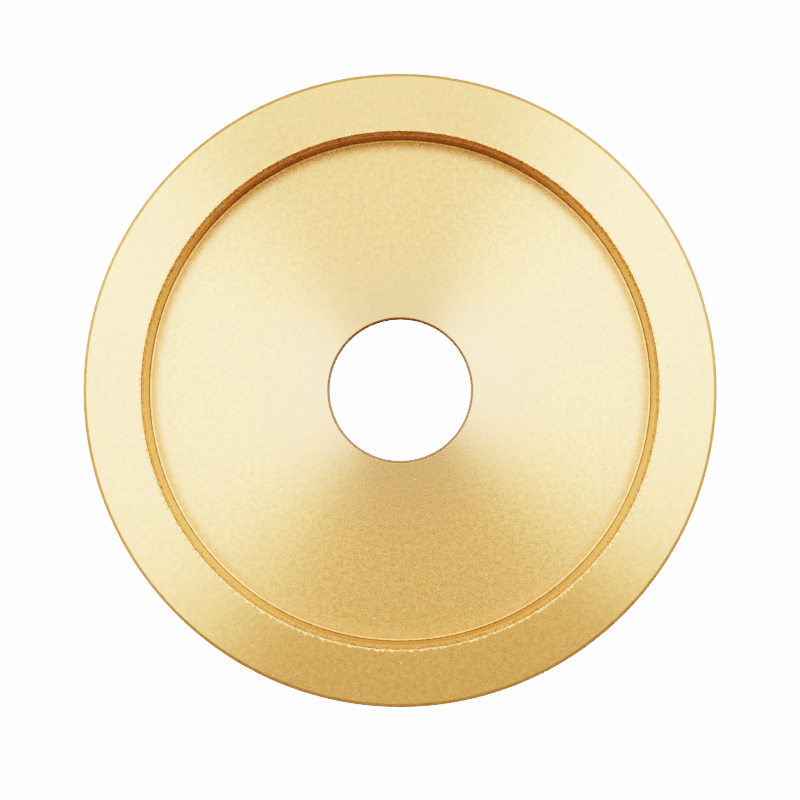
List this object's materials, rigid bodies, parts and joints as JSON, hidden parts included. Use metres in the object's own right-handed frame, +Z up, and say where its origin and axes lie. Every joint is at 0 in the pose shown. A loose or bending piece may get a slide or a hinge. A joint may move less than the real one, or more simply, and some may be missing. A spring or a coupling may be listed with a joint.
{
  "type": "diamond grinding wheel",
  "caption": "Face grinding wheel: a turned brass disc with a recessed web, a plain bore and a raised sintered diamond rim.",
  "frame": {"origin": "on the wheel's axis, halfway through its width", "axes": "+Y along the axis from the grinding face to the back face; the grinding face looks along -Y; +Z up, +X to the right seen from the grinding side"},
  "size_m": [0.108, 0.022, 0.108],
  "materials": {
    "turned_brass": "satin, turned",
    "diamond_bond": "satin face, rough inner flank with diamond grit",
    "backing_bronze": "satin",
    "bonding_film": "matt, cured"
  },
  "bodies": {
    "root": {"wheel_core": "turned_brass", "diamond_ring": "diamond_bond", "backing_ring": "backing_bronze", "adhesive_film": "bonding_film"}
  },
  "joints": []
}
